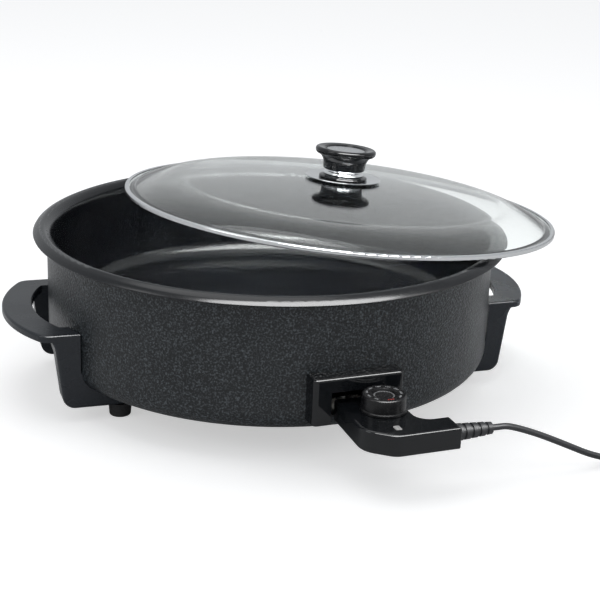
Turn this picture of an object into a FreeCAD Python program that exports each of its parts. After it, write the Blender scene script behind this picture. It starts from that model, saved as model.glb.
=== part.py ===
import FreeCAD, Part
import math
import os
from FreeCAD import Vector

# Electric skillet, millimetres, +Z up. The pan's axis is at x = y = 0 while the pieces are made.
# Heights are measured from a level just above the table, which lies at TABLE_Z.

# Pan and casing
TABLE_Z = -4.0
RIM_R = 210.0
RIM_TOP_Z = 139.0
PAN_IN_R = 192.5
PAN_WALL = 2.5
PAN_FLOOR_Z = 51.0
PAN_CORNER_R = 16.0
CASE_R = 198.0
CASE_T = 1.2
CASE_BASE_Z = 22.0
CASE_CORNER_R = 17.5
CASE_OPEN_R = 142.0
FLANGE_UNDER_Z = 132.2
BASE_PLATE_R = 146.0
BASE_PLATE_T = 1.2
STUD_RING_R = 135.0
STUD_ANGLES = [25.0, 115.0, 205.0, 335.0]

# Directions seen from above, in degrees from +X
HANDLE_AZ = 197.0
SOCKET_AZ = 290.3

# Handles: n points away from the pan, t along the grip
GRIP_TOP_Z = 75.0
GRIP_T = 6.0
GRIP_OUT_N = 239.0
GRIP_OUT_R = 128.0
GRIP_IN_N = 213.0
GRIP_IN_R = 110.0
GRIP_HALF = 75.0
GRIP_GAP_HALF = 56.0
POST_WIDTH = 20.0
POST_OUT_N = 205.0
POST_LEAN = 7.0
ARM_IN_N = 139.0
ARM_UNDER_Z = 8.0
FOOT_N = 150.0
FOOT_R = 10.0

# Heating element and terminals
TERMINAL_Z = 43.0
ELEMENT_R = 3.75
ELEMENT_LOOP_R = 105.0
PIN_SPACING = 24.0
PIN_R = 2.2
PROBE_R = 3.05
GUIDE_BORE_R = 3.15
GUIDE_R = 3.75

# Socket shroud on the casing
SHROUD_HALF = 38.5
SHROUD_FRONT_N = 211.0
SHROUD_LOW_Z = 35.0
SHROUD_TOP_Z = 74.0
RECESS_HALF = 23.5
RECESS_TOP_Z = 62.0

# Plug-in temperature controller, in the same n, t frame as the socket
CTRL_LOW_Z = 34.0
CTRL_TOP_Z = 52.0
CTRL_WALL = 2.0
NECK_N = 200.4
NECK_HALF = 17.0
CTRL_FRONT_N = 279.5
ARM_BACK_N = 256.5
ARM_END_T = 56.0
DIAL_N = 230.6
DIAL_T = 12.0
DIAL_R = 18.6
DIAL_LOW_Z = 52.4
DIAL_TOP_Z = 66.0
SPINDLE_R = 3.0
LENS_N = 266.0
LENS_T = 8.0
CORD_N = 268.0
RELIEF_TIP_T = 87.0

# Cord
CORD_R = 2.6
COIL_TURNS = 5.25
COIL_OUT_R = 38.0
COIL_PITCH = 6.1
COIL_LOW_Z = TABLE_Z + 3.8
COIL_LAYER = 6.1
PLUG_AXIS_Z = TABLE_Z + 11.4

# Lid: built level round its own axis, then laid ajar on the rim
LID_R = 200.0
LID_SKIRT_R = 191.3
LID_SKIRT_DEPTH = 2.0
LID_SHEET = 0.5
GLASS_T = 3.6
GLASS_TOP = 26.6
LID_SHIFT = 86.5
LID_SHIFT_AZ = 42.7
LID_TILT = 5.55
LID_REST_Z = 139.75

Z_AXIS = Vector(0, 0, 1)
ORIGIN = Vector(0, 0, 0)
NODES = {}


def add(name, shape):
    """Keep a finished piece under its node's name."""
    solids = shape.Solids
    NODES[name] = solids[0] if len(solids) == 1 else Part.makeCompound(solids)


def edges_from(items, plane):
    """Lines between points, and arcs where an item is a (mid, end) pair."""
    def spot(pair):
        return Vector(pair[0], 0, pair[1]) if plane == "xz" else Vector(pair[0], pair[1], 0)
    edges = []
    here = spot(items[0])
    for item in items[1:]:
        if isinstance(item[0], tuple):
            mid, end = spot(item[0]), spot(item[1])
            edges.append(Part.Arc(here, mid, end).toShape())
            here = end
        elif (spot(item) - here).Length > 1e-6:
            end = spot(item)
            edges.append(Part.makeLine(here, end))
            here = end
    start = spot(items[0])
    if (start - here).Length > 1e-6:
        edges.append(Part.makeLine(here, start))
    return edges


def turned(items):
    """Solid of revolution about Z from an outline of (radius, height) items."""
    face = Part.Face(Part.Wire(edges_from(items, "xz")))
    return face.revolve(ORIGIN, Z_AXIS, 360)


def corner_point(centre, radius, degrees):
    angle = math.radians(degrees)
    return (centre[0] + radius * math.cos(angle), centre[1] + radius * math.sin(angle))


def rounded_outline(corners):
    """Wire in the XY plane through (x, y, corner radius) items."""
    count = len(corners)
    edges = []
    joins = []
    for i in range(count):
        before, here, after = corners[i - 1], corners[i], corners[(i + 1) % count]
        point = Vector(here[0], here[1], 0)
        back = Vector(before[0], before[1], 0) - point
        ahead = Vector(after[0], after[1], 0) - point
        back.normalize()
        ahead.normalize()
        radius = here[2]
        if radius <= 0:
            joins.append((point, None, point))
            continue
        half = math.acos(max(-1.0, min(1.0, back.dot(ahead)))) / 2
        reach = radius / math.tan(half)
        middle = back + ahead
        middle.normalize()
        centre = point + middle * (radius / math.sin(half))
        joins.append((point + back * reach, centre - middle * radius, point + ahead * reach))
    for i in range(count):
        start, mid, end = joins[i]
        if mid is not None:
            edges.append(Part.Arc(start, mid, end).toShape())
        edges.append(Part.makeLine(end, joins[(i + 1) % count][0]))
    return Part.Wire(edges)


def slab(corners, low, high):
    """Upright slab with a rounded outline between two heights."""
    face = Part.Face(rounded_outline(corners))
    face.translate(Vector(0, 0, low))
    return face.extrude(Vector(0, 0, high - low))


def box(x0, x1, y0, y1, z0, z1):
    return Part.makeBox(x1 - x0, y1 - y0, z1 - z0, Vector(x0, y0, z0))


def rod(radius, low, high, x=0.0, y=0.0):
    return Part.makeCylinder(radius, high - low, Vector(x, y, low))


def ring(outer, inner, low, high, x=0.0, y=0.0):
    return rod(outer, low, high, x, y).cut(rod(inner, low - 1, high + 1, x, y))


def rod_n(radius, n0, n1, t, z):
    """Rod along n."""
    return Part.makeCylinder(radius, n1 - n0, Vector(n0, t, z), Vector(1, 0, 0))


def turn_to(shape, azimuth):
    """From the local n, t frame to a direction round the pan."""
    done = shape.copy()
    done.rotate(ORIGIN, Z_AXIS, azimuth)
    return done


def soften(shape, radius, chosen):
    """Fillet the edges that the test picks out; keep the shape if that can't be done."""
    picked = [edge for edge in shape.Edges if chosen(edge)]
    try:
        result = shape.makeFillet(radius, picked)
        if result.isValid() and result.Volume > 0:
            return result
    except Exception:
        pass
    print("edges left sharp:", len(picked))
    return shape


def polar(radius, degrees):
    angle = math.radians(degrees)
    return radius * math.cos(angle), radius * math.sin(angle)


# Pan


def make_inner_pan():
    """Non-stick pan: floor, straight wall, wide flange with a raised lip, studs below."""
    corner = (PAN_IN_R - PAN_CORNER_R, PAN_FLOOR_Z + PAN_CORNER_R)
    outer_corner_r = PAN_CORNER_R + PAN_WALL
    under_z = corner[1] - outer_corner_r
    wall_r = PAN_IN_R + PAN_WALL
    pan = turned([
        (0, PAN_FLOOR_Z),
        (corner[0], PAN_FLOOR_Z),
        (corner_point(corner, PAN_CORNER_R, -45), (PAN_IN_R, corner[1])),
        (PAN_IN_R, RIM_TOP_Z - 10.0),
        ((PAN_IN_R + 1.9, RIM_TOP_Z - 4.6), (PAN_IN_R + 6.8, RIM_TOP_Z - 0.9)),
        ((PAN_IN_R + 9.6, RIM_TOP_Z), (PAN_IN_R + 12.3, RIM_TOP_Z - 0.8)),
        ((RIM_R - 1.6, RIM_TOP_Z - 3.0), (RIM_R, RIM_TOP_Z - 5.4)),
        ((RIM_R - 0.6, RIM_TOP_Z - 6.5), (RIM_R - 2.0, FLANGE_UNDER_Z)),
        (wall_r, FLANGE_UNDER_Z),
        (wall_r, corner[1]),
        (corner_point(corner, outer_corner_r, -45), (corner[0], under_z)),
        (0, under_z),
    ])
    for angle in STUD_ANGLES:
        x, y = polar(STUD_RING_R, angle)
        stud = rod(5.0, CASE_BASE_Z, under_z + 0.5, x, y)
        pan = pan.fuse(stud).cut(rod(1.75, CASE_BASE_Z - 1, CASE_BASE_Z + 12, x, y))
    return pan.removeSplitter(), under_z


def make_casing():
    """Hammer-finished outer casing with a window for the terminals."""
    corner = (CASE_R - CASE_CORNER_R, CASE_BASE_Z + CASE_CORNER_R)
    inner_r = CASE_CORNER_R - CASE_T
    case = turned([
        (CASE_R, FLANGE_UNDER_Z),
        (CASE_R, corner[1]),
        (corner_point(corner, CASE_CORNER_R, -45), (corner[0], CASE_BASE_Z)),
        (CASE_OPEN_R, CASE_BASE_Z),
        (CASE_OPEN_R, CASE_BASE_Z + CASE_T),
        (corner[0], CASE_BASE_Z + CASE_T),
        (corner_point(corner, inner_r, -45), (CASE_R - CASE_T, corner[1])),
        (CASE_R - CASE_T, FLANGE_UNDER_Z),
    ])
    window = box(180, 205, -20, 20, 36.5, 58)
    case = case.cut(turn_to(window, SOCKET_AZ))
    for x, y in FOOT_SPOTS:
        case = case.cut(rod(2.3, CASE_BASE_Z - 1, CASE_BASE_Z + CASE_T + 1, x, y))
    for side in (-1, 1):
        hole = rod_n(1.8, 185, 205, side * 31, 50)
        case = case.cut(turn_to(hole, SOCKET_AZ))
    return case


def casing_envelope(gap):
    """The casing's outside as a full body, grown by a gap, to trim what hugs it."""
    corner = (CASE_R - CASE_CORNER_R, CASE_BASE_Z + CASE_CORNER_R)
    grown = CASE_CORNER_R + gap
    return turned([
        (0, CASE_BASE_Z - gap),
        (corner[0], CASE_BASE_Z - gap),
        (corner_point(corner, grown, -45), (CASE_R + gap, corner[1])),
        (CASE_R + gap, 200),
        (0, 200),
    ])


def make_base_plate():
    """Bottom cover with cooling slots, screwed to the pan's studs."""
    low = CASE_BASE_Z - BASE_PLATE_T
    plate = rod(BASE_PLATE_R, low, CASE_BASE_Z)
    slots = []
    for i in range(12):
        slot = slab([(60, -2.5, 2.4), (90, -2.5, 2.4), (90, 2.5, 2.4), (60, 2.5, 2.4)],
                    low - 1, CASE_BASE_Z + 1)
        slots.append(turn_to(slot, 30 * i + 10))
    for angle in STUD_ANGLES:
        x, y = polar(STUD_RING_R, angle)
        slots.append(rod(2.2, low - 1, CASE_BASE_Z + 1, x, y))
    return plate.cut(Part.makeCompound(slots))


def make_base_screws():
    screws = []
    low = CASE_BASE_Z - BASE_PLATE_T
    for angle in STUD_ANGLES:
        x, y = polar(STUD_RING_R, angle)
        head = rod(3.8, low - 2.2, low, x, y)
        head = soften(head, 0.8, lambda edge: edge.BoundBox.ZMax < low - 2.1)
        cross = box(x - 2.2, x + 2.2, y - 0.4, y + 0.4, low - 3, low - 1.2)
        cross = cross.fuse(box(x - 0.4, x + 0.4, y - 2.2, y + 2.2, low - 3, low - 1.2))
        screws.append(head.fuse(rod(1.7, low, low + 11, x, y)).cut(cross))
    return Part.makeCompound(screws)


def make_reflector():
    """Shallow bright tray that stands on the base plate and throws heat upwards."""
    tray = turned([
        (0, 31.0), (118, 31.0), (122, CASE_BASE_Z), (130, CASE_BASE_Z),
        (130, CASE_BASE_Z + 0.8), (122.6, CASE_BASE_Z + 0.8), (118.6, 31.8), (0, 31.8),
    ])
    return tray


# Handles and feet


def foot_spots():
    spots = []
    for azimuth in (HANDLE_AZ, HANDLE_AZ - 180):
        for side in (-1, 1):
            t = side * (GRIP_HALF - POST_WIDTH / 2)
            angle = math.radians(azimuth)
            x = FOOT_N * math.cos(angle) - t * math.sin(angle)
            y = FOOT_N * math.sin(angle) + t * math.cos(angle)
            spots.append((x, y))
    return spots


FOOT_SPOTS = foot_spots()


def grip_plate():
    """Crescent grip between an outer and an inner arc, with ends run back to the casing."""
    out_centre = GRIP_OUT_N - GRIP_OUT_R
    in_centre = GRIP_IN_N - GRIP_IN_R
    low = GRIP_TOP_Z - GRIP_T
    plate = rod(GRIP_OUT_R, low, GRIP_TOP_Z, out_centre, 0)
    plate = plate.common(box(170, 260, -GRIP_HALF, GRIP_HALF, low, GRIP_TOP_Z))
    corner_n = out_centre + math.sqrt(GRIP_OUT_R ** 2 - GRIP_HALF ** 2)

    def is_corner(edge):
        bounds = edge.BoundBox
        return bounds.ZMax - bounds.ZMin > 1 and abs(bounds.XMin - corner_n) < 0.1

    plate = soften(plate, 12.0, is_corner)

    def is_rim(edge):
        bounds = edge.BoundBox
        level = bounds.ZMax - bounds.ZMin < 0.01 and bounds.ZMin > GRIP_TOP_Z - 0.01
        return level and bounds.XMax > 171

    plate = soften(plate, 2.0, is_rim)
    gap = rod(GRIP_IN_R, low - 1, GRIP_TOP_Z + 1, in_centre, 0)
    gap = gap.common(box(150, 260, -GRIP_GAP_HALF, GRIP_GAP_HALF, low - 1, GRIP_TOP_Z + 1))
    plate = plate.cut(gap)

    def is_gap_edge(edge):
        bounds = edge.BoundBox
        level = bounds.ZMax - bounds.ZMin < 0.01 and bounds.ZMin > GRIP_TOP_Z - 0.01
        return level and bounds.XMax > GRIP_IN_N - 1 and bounds.XMax < GRIP_IN_N + 1

    return soften(plate, 1.2, is_gap_edge)


def handle_post(side):
    """Post that leans in towards its foot, and the arm turned in under the casing."""
    round_r = 11.0
    lean = math.radians(POST_LEAN)
    middle_z = ARM_UNDER_Z + round_r
    middle_n = POST_OUT_N - (60 - middle_z) * math.tan(lean) - round_r / math.cos(lean)
    centre = (middle_n, middle_z)
    outline = [
        (ARM_IN_N, ARM_UNDER_Z),
        (centre[0], ARM_UNDER_Z),
        (corner_point(centre, round_r, -48), corner_point(centre, round_r, -POST_LEAN)),
        (POST_OUT_N, 60),
        ((POST_OUT_N + 1.4, 65.0), (POST_OUT_N + 4.2, GRIP_TOP_Z - GRIP_T + 0.4)),
        (POST_OUT_N + 4.2, GRIP_TOP_Z - 3),
        (170, GRIP_TOP_Z - 3),
        (170, 21.0),
        (ARM_IN_N, 21.0),
    ]
    face = Part.Face(Part.Wire(edges_from(outline, "xz")))
    near = -GRIP_HALF if side < 0 else GRIP_HALF - POST_WIDTH
    face.translate(Vector(0, near, 0))
    bar = face.extrude(Vector(0, POST_WIDTH, 0))
    outside = side * GRIP_HALF

    def is_outer(edge):
        bounds = edge.BoundBox
        on_side = abs(bounds.YMax - bounds.YMin) < 0.01 and abs(bounds.YMax - outside) < 0.01
        return on_side and bounds.XMax > centre[0] + 1 and bounds.XMin > 185 and bounds.ZMax < 61

    return soften(bar, 3.0, is_outer)


def make_handle(azimuth):
    """Grip and both posts as one moulding, trimmed to the casing's outside."""
    whole = grip_plate().fuse([handle_post(-1), handle_post(1)])
    whole = whole.cut(casing_envelope(0.15))
    clear = ring(CASE_R + 1.2, 60, CASE_BASE_Z + CASE_CORNER_R, GRIP_TOP_Z + 1)
    whole = whole.cut(clear)
    middle = GRIP_HALF - POST_WIDTH / 2
    for t in (-middle, middle):
        whole = whole.cut(rod(2.3, 0, 40, FOOT_N, t))
        whole = whole.cut(rod(5.1, ARM_UNDER_Z - 1, ARM_UNDER_Z + 3.0, FOOT_N, t))
    whole = whole.removeSplitter()
    return turn_to(whole, azimuth)


def make_foot(x, y):
    """Rubber foot with a spigot in the arm and a sunk screw seat."""
    body = turned([
        (2.3, 5.0), (4.6, 5.0), (4.6, TABLE_Z), (FOOT_R - 2.4, TABLE_Z),
        ((FOOT_R - 1.28, TABLE_Z + 0.5), (FOOT_R - 0.8, TABLE_Z + 1.6)),
        (FOOT_R, ARM_UNDER_Z - 0.05), (4.95, ARM_UNDER_Z - 0.05), (4.95, ARM_UNDER_Z + 2.9),
        (2.3, ARM_UNDER_Z + 2.9),
    ])
    body.translate(Vector(x, y, 0))
    return body


def make_foot_screws():
    screws = []
    for x, y in FOOT_SPOTS:
        screw = rod(4.0, 2.4, 4.95, x, y).fuse(rod(2.0, 4.9, CASE_BASE_Z + 6, x, y))
        cross = box(x - 2.4, x + 2.4, y - 0.5, y + 0.5, 2, 3.6)
        cross = cross.fuse(box(x - 0.5, x + 0.5, y - 2.4, y + 2.4, 2, 3.6))
        screws.append(screw.cut(cross))
    return Part.makeCompound(screws)


def make_nuts():
    nuts = []
    for x, y in FOOT_SPOTS:
        points = [Vector(x + 4.0 * math.cos(math.radians(a)), y + 4.0 * math.sin(math.radians(a)),
                         CASE_BASE_Z + CASE_T) for a in range(0, 361, 60)]
        nut = Part.Face(Part.makePolygon(points)).extrude(Vector(0, 0, 3.4))
        nuts.append(nut.cut(rod(2.05, 0, 40, x, y)))
    return Part.makeCompound(nuts)


# Heating element, its terminals and the probe's guide


def make_element():
    """Tubular element: one loop, with both ends led out to the socket."""
    half = PIN_SPACING / 2
    bend = 14.0
    centre_t = half + bend
    centre_n = math.sqrt((ELEMENT_LOOP_R + bend) ** 2 - centre_t ** 2)
    share = ELEMENT_LOOP_R / (ELEMENT_LOOP_R + bend)
    join_n, join_t = centre_n * share, centre_t * share
    end_n = 188.0
    z = TERMINAL_Z
    edges = []
    start = Vector(end_n, -half, z)
    line_end = Vector(centre_n, -half, z)
    edges.append(Part.makeLine(start, line_end))
    to_line = 90.0
    to_join = math.degrees(math.atan2(centre_t - join_t, join_n - centre_n))
    middle = (to_line + to_join) / 2
    bend_mid = Vector(centre_n + bend * math.cos(math.radians(middle)),
                      -centre_t + bend * math.sin(math.radians(middle)), z)
    join_low = Vector(join_n, -join_t, z)
    join_high = Vector(join_n, join_t, z)
    edges.append(Part.Arc(line_end, bend_mid, join_low).toShape())
    edges.append(Part.Arc(join_low, Vector(0, -ELEMENT_LOOP_R, z),
                          Vector(-ELEMENT_LOOP_R, 0, z)).toShape())
    edges.append(Part.Arc(Vector(-ELEMENT_LOOP_R, 0, z), Vector(0, ELEMENT_LOOP_R, z),
                          join_high).toShape())
    other_mid = Vector(bend_mid.x, -bend_mid.y, z)
    other_line = Vector(centre_n, half, z)
    edges.append(Part.Arc(join_high, other_mid, other_line).toShape())
    edges.append(Part.makeLine(other_line, Vector(end_n, half, z)))
    return turn_to(tube_along(edges, ELEMENT_R), SOCKET_AZ)


def tube_along(edges, radius):
    """Solid tube swept along joined edges."""
    wire = Part.Wire(edges)
    first = edges[0]
    start = first.valueAt(first.FirstParameter)
    along = first.tangentAt(first.FirstParameter)
    circle = Part.Wire(Part.makeCircle(radius, start, along))
    sweep = Part.BRepOffsetAPI.MakePipeShell(wire)
    sweep.add(circle)
    sweep.build()
    sweep.makeSolid()
    solid = sweep.shape()
    if solid.Volume < 0:
        solid.reverse()
    return solid


def make_clamps():
    """Saddle clips that press the element loop to the spreader plate."""
    clips = []
    for angle in (60, 180, 300):
        top = TERMINAL_Z + ELEMENT_R
        clip = box(ELEMENT_LOOP_R - 9, ELEMENT_LOOP_R + 9, -6, 6, TERMINAL_Z - 5.2, top)
        tunnel = Part.makeCylinder(ELEMENT_R + 0.1, 16, Vector(ELEMENT_LOOP_R, -8, TERMINAL_Z),
                                   Vector(0, 1, 0))
        slot = box(ELEMENT_LOOP_R - ELEMENT_R - 0.1, ELEMENT_LOOP_R + ELEMENT_R + 0.1, -8, 8,
                   TERMINAL_Z, top + 1)
        loop = Part.makeTorus(ELEMENT_LOOP_R, ELEMENT_R + 0.12, Vector(0, 0, TERMINAL_Z))
        clips.append(turn_to(clip.cut(tunnel).cut(slot).cut(loop), SOCKET_AZ + angle))
    return Part.makeCompound(clips)


def make_terminal_bracket():
    """Steel plate behind the window that holds the cold ends and the guide."""
    half = PIN_SPACING / 2
    plate = box(184.0, 185.5, -22, 22, 33.0, TERMINAL_Z + 3.6)
    foot = box(172.0, 185.5, -22, 22, 31.8, 33.0)
    plate = plate.fuse(foot)
    for t in (-half, half):
        plate = plate.cut(rod_n(ELEMENT_R + 0.05, 180, 190, t, TERMINAL_Z))
    plate = plate.cut(rod_n(GUIDE_R + 0.05, 180, 190, 0, TERMINAL_Z))
    post = box(172.0, 178.0, -22, -16, CASE_BASE_Z + CASE_T, 31.8)
    post = post.fuse(box(172.0, 178.0, 16, 22, CASE_BASE_Z + CASE_T, 31.8))
    return turn_to(plate.fuse(post).removeSplitter(), SOCKET_AZ)


def make_pin_bushes():
    half = PIN_SPACING / 2
    bushes = []
    for t in (-half, half):
        bush = rod_n(ELEMENT_R, 188, 194, t, TERMINAL_Z)
        bushes.append(bush.cut(rod_n(PIN_R, 187, 195, t, TERMINAL_Z)))
    return turn_to(Part.makeCompound(bushes), SOCKET_AZ)


def make_pins():
    half = PIN_SPACING / 2
    pins = []
    for t in (-half, half):
        pin = rod_n(PIN_R, 188, 216, t, TERMINAL_Z)
        pins.append(soften(pin, 1.0, lambda edge: edge.BoundBox.XMin > 215.9))
    return turn_to(Part.makeCompound(pins), SOCKET_AZ)


def make_probe_guide():
    tube = rod_n(GUIDE_R, 120, 194, 0, TERMINAL_Z)
    return turn_to(tube.cut(rod_n(GUIDE_BORE_R, 121.5, 200, 0, TERMINAL_Z)), SOCKET_AZ)


def make_shroud():
    """Glossy socket housing: hollow box with an arch open at the front and below."""
    height = SHROUD_TOP_Z - SHROUD_LOW_Z
    body = box(184, SHROUD_FRONT_N, -SHROUD_HALF, SHROUD_HALF, SHROUD_LOW_Z, SHROUD_TOP_Z)

    def upright(edge):
        bounds = edge.BoundBox
        return bounds.ZMax - bounds.ZMin > height - 1 and bounds.XMin > SHROUD_FRONT_N - 1

    body = soften(body, 4.0, upright)

    def top_front(edge):
        bounds = edge.BoundBox
        level = bounds.ZMax - bounds.ZMin < 0.01 and bounds.ZMin > SHROUD_TOP_Z - 0.01
        return level and bounds.XMax > 185 and bounds.XMin > 184.5 or (
            level and abs(bounds.YMax - bounds.YMin) < 0.01)

    body = soften(body, 2.4, top_front)
    body = body.cut(box(180, 215, -RECESS_HALF, RECESS_HALF, SHROUD_LOW_Z - 1, RECESS_TOP_Z))
    skin = 2.5
    inside = SHROUD_FRONT_N - skin
    for side in (-1, 1):
        near = RECESS_HALF + skin if side > 0 else -SHROUD_HALF + skin
        far = SHROUD_HALF - skin if side > 0 else -RECESS_HALF - skin
        pocket = box(180, inside, near, far, SHROUD_LOW_Z + skin, SHROUD_TOP_Z - skin)
        pocket = pocket.cut(rod_n(4.2, 180, 215, side * 31, 50))
        body = body.cut(pocket)
        body = body.cut(rod_n(1.45, 180, 206, side * 31, 50))
    body = body.cut(box(180, inside, -RECESS_HALF, RECESS_HALF, RECESS_TOP_Z + skin,
                        SHROUD_TOP_Z - skin))
    body = body.cut(casing_envelope(0.1))
    return turn_to(body, SOCKET_AZ)


def make_shroud_screws():
    screws = []
    for side in (-1, 1):
        head = rod_n(3.0, 191.6, 193.4, side * 31, 50)
        screws.append(head.fuse(rod_n(1.4, 193.3, 205, side * 31, 50)))
    return turn_to(Part.makeCompound(screws), SOCKET_AZ)


# Controller


def controller_corners(inset):
    """Plan of the controller: neck, body round the dial, and the arm to the cord."""
    i = inset
    side_n = 212.3
    return [
        (NECK_N + i, -NECK_HALF + i, 1.0),
        (262 - i, -19 + i, 20.0),
        (CTRL_FRONT_N - i, 2 + i, 14.0),
        (CTRL_FRONT_N - i, ARM_END_T - i, 1.2),
        (ARM_BACK_N + i, ARM_END_T - i, 1.2),
        (ARM_BACK_N + i, 31 - i, 12.0 - i),
        (side_n + i, 31 - i, 5.0),
        (side_n + i, NECK_HALF - i, 1.0),
        (NECK_N + i, NECK_HALF - i, 1.0),
    ]


SCREW_SPOTS = [(233.0, -14.0), (219.5, 26.6), (264.0, 46.0)]


def make_controller_base():
    split = (CTRL_LOW_Z + CTRL_TOP_Z) / 2
    shell = slab(controller_corners(0), CTRL_LOW_Z, split)
    shell = soften(shell, 1.6, lambda edge: edge.BoundBox.ZMax < CTRL_LOW_Z + 0.01)
    shell = shell.cut(slab(controller_corners(CTRL_WALL), CTRL_LOW_Z + CTRL_WALL, split + 1))
    for n, t in SCREW_SPOTS:
        shell = shell.fuse(rod(3.6, CTRL_LOW_Z + 1, split, n, t))
    for n, t in SCREW_SPOTS:
        shell = shell.cut(rod(1.7, CTRL_LOW_Z - 1, split + 1, n, t))
        shell = shell.cut(rod(3.2, CTRL_LOW_Z - 1, CTRL_LOW_Z + 2.4, n, t))
    return turn_to(trim_for_fittings(shell), SOCKET_AZ)


def make_controller_cover():
    split = (CTRL_LOW_Z + CTRL_TOP_Z) / 2
    shell = slab(controller_corners(0), split, CTRL_TOP_Z)
    shell = soften(shell, 2.2, lambda edge: edge.BoundBox.ZMin > CTRL_TOP_Z - 0.01)
    shell = shell.cut(slab(controller_corners(CTRL_WALL), split - 1, CTRL_TOP_Z - CTRL_WALL))
    for n, t in SCREW_SPOTS:
        shell = shell.fuse(rod(3.2, split, CTRL_TOP_Z - 1, n, t))
    for n, t in SCREW_SPOTS:
        shell = shell.cut(rod(1.35, split - 1, CTRL_TOP_Z - 2.6, n, t))
    shell = shell.cut(rod(4.5, split, CTRL_TOP_Z + 1, DIAL_N, DIAL_T))
    lens_hole = slab(lens_corners(0.0), CTRL_TOP_Z - 3, CTRL_TOP_Z + 1)
    shell = shell.cut(lens_hole)
    return turn_to(trim_for_fittings(shell), SOCKET_AZ)


def trim_for_fittings(shell):
    """Openings for the sleeves, the probe and the cord's boot."""
    half = PIN_SPACING / 2
    for t in (-half, half):
        shell = shell.cut(rod_n(3.4, 195, 223, t, TERMINAL_Z))
    shell = shell.cut(rod_n(PROBE_R, 195, 212, 0, TERMINAL_Z))
    boot = Part.makeCylinder(6.5, 6, Vector(CORD_N, ARM_END_T - 4, TERMINAL_Z), Vector(0, 1, 0))
    return shell.cut(boot)


def lens_corners(inset):
    i = inset
    return [
        (LENS_N - 3.6 + i, LENS_T - 2.6 + i, 1.0),
        (LENS_N + 3.6 - i, LENS_T - 2.6 + i, 1.0),
        (LENS_N + 3.6 - i, LENS_T + 2.6 - i, 1.0),
        (LENS_N - 3.6 + i, LENS_T + 2.6 - i, 1.0),
    ]


def make_lens():
    lens = slab(lens_corners(0.05), CTRL_TOP_Z - 2.0, CTRL_TOP_Z + 0.5)
    lens = soften(lens, 0.4, lambda edge: edge.BoundBox.ZMin > CTRL_TOP_Z + 0.49)
    return turn_to(lens, SOCKET_AZ)


def make_lamp():
    """Small neon lamp lying below the lens."""
    glass = Part.makeCylinder(2.2, 8, Vector(LENS_N, LENS_T + 4, 46.5), Vector(0, -1, 0))
    return turn_to(soften(glass, 1.5, lambda edge: edge.BoundBox.YMax < LENS_T - 3.9), SOCKET_AZ)


def make_sleeves():
    half = PIN_SPACING / 2
    sleeves = []
    for t in (-half, half):
        tube = rod_n(3.4, 201.2, 221, t, TERMINAL_Z)
        sleeves.append(tube.cut(rod_n(2.28, 200, 218, t, TERMINAL_Z)))
    return turn_to(Part.makeCompound(sleeves), SOCKET_AZ)


def make_probe():
    rod_shape = rod_n(PROBE_R, 124, 226, 0, TERMINAL_Z)
    rod_shape = soften(rod_shape, 2.4, lambda edge: edge.BoundBox.XMax < 124.1)
    return turn_to(rod_shape, SOCKET_AZ)


def make_thermostat():
    """Switch frame: steel base strip, ceramic stack, and two contact leaves."""
    frame = box(224, 252, -8, -2, 36.2, 37.4)
    stack = box(244, 251, -8, -2, 37.4, 44.0)
    lower_leaf = box(222, 244, -7, -3, 39.0, 39.5)
    lower_leaf = lower_leaf.fuse(rod(1.6, 39.4, 40.6, 224, -5))
    upper_leaf = box(222, 244, -7, -3, 42.0, 42.5)
    upper_leaf = upper_leaf.fuse(rod(1.6, 40.9, 42.1, 224, -5))
    leaves = lower_leaf.fuse(upper_leaf)
    return (turn_to(frame, SOCKET_AZ), turn_to(stack, SOCKET_AZ),
            turn_to(Part.makeCompound(leaves.Solids), SOCKET_AZ))


def make_controller_screws():
    screws = []
    for n, t in SCREW_SPOTS:
        head = rod(3.1, CTRL_LOW_Z + 0.4, CTRL_LOW_Z + 2.35, n, t)
        cross = box(n - 1.9, n + 1.9, t - 0.4, t + 0.4, CTRL_LOW_Z, CTRL_LOW_Z + 1.4)
        cross = cross.fuse(box(n - 0.4, n + 0.4, t - 1.9, t + 1.9, CTRL_LOW_Z, CTRL_LOW_Z + 1.4))
        shaft = rod(1.3, CTRL_LOW_Z + 2.3, CTRL_TOP_Z - 3.0, n, t)
        screws.append(head.fuse(shaft).cut(cross))
    return turn_to(Part.makeCompound(screws), SOCKET_AZ)


def make_dial():
    """Fluted knob with a raised edge and a sunk middle."""
    low, top, outer = DIAL_LOW_Z, DIAL_TOP_Z, DIAL_R
    body = turned([
        (0, low), (outer, low), (outer, low + 1.6), (outer - 0.9, low + 2.2),
        (outer - 1.2, top - 1.6), ((outer - 1.7, top - 0.5), (outer - 2.8, top)),
        (11.2, top - 0.5), (10.2, top - 0.2), (9.6, top - 0.6), (9.2, top - 2.0), (0, top - 2.0),
    ])
    cuts = []
    for i in range(30):
        x, y = polar(outer + 0.15, 12 * i)
        cuts.append(rod(1.0, low + 2.2, top - 1.8, x, y))
    body = body.cut(Part.makeCompound(cuts))
    body = body.cut(rod(SPINDLE_R, low - 1, top - 4, 0, 0))
    body.translate(Vector(DIAL_N, DIAL_T, 0))
    return turn_to(body, SOCKET_AZ)


def make_spindle():
    pin = rod(SPINDLE_R, 44.0, DIAL_TOP_Z - 4.1, DIAL_N, DIAL_T)
    cam = rod(8.0, 44.0, 46.0, DIAL_N, DIAL_T)
    return turn_to(pin.fuse(cam), SOCKET_AZ)


def make_spindle_bush():
    bush = ring(4.45, SPINDLE_R + 0.05, 47.0, CTRL_TOP_Z + 0.1, DIAL_N, DIAL_T)
    return turn_to(bush, SOCKET_AZ)


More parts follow.
